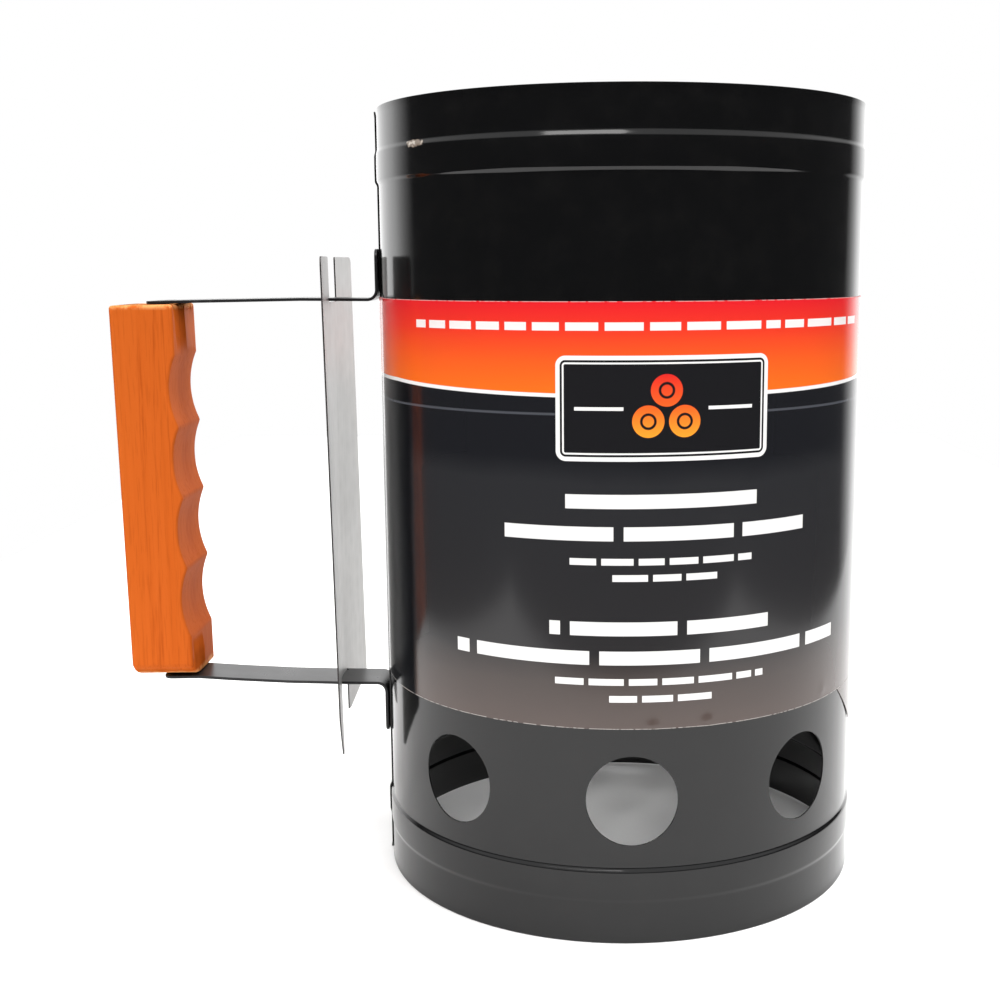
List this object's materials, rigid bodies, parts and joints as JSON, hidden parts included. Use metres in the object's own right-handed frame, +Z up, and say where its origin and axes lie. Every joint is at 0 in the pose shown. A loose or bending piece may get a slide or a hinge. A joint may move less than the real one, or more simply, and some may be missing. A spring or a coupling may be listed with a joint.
{
  "type": "chimney charcoal starter",
  "caption": "Sheet-steel chimney tube for lighting charcoal, with round air holes, an inner grate, a wrap-round label and a wooden side handle behind a heat shield.",
  "frame": {"origin": "on the tube's axis, in the plane of its bottom rim", "axes": "+Z up along the tube's axis, the handle points along -X, the front of the label faces -Y"},
  "size_m": [0.2984, 0.1928, 0.304],
  "materials": {
    "black_enamel": "semi-gloss black enamel on steel sheet",
    "printed_label": "glossy printed wrap, red to orange above near-black",
    "plain_steel": "plain stamped steel",
    "strap_black": "satin black paint on steel strap",
    "zinc_sheet": "dull bright zinc-plated sheet",
    "stained_wood": "amber-orange stained and lacquered wood",
    "dark_screw": "blackened steel"
  },
  "bodies": {
    "root": {"chimney_tube": "black_enamel", "upper_seam_rivet": "black_enamel", "lower_seam_rivet": "black_enamel", "label_sleeve": "printed_label", "charcoal_grate": "plain_steel", "grate_rivets": "plain_steel", "upper_bracket": "strap_black", "lower_bracket": "strap_black", "upper_bracket_rivet": "strap_black", "lower_bracket_rivet": "strap_black", "heat_shield": "zinc_sheet", "wooden_handle": "stained_wood", "upper_handle_screw": "dark_screw", "lower_handle_screw": "dark_screw"}
  },
  "joints": []
}
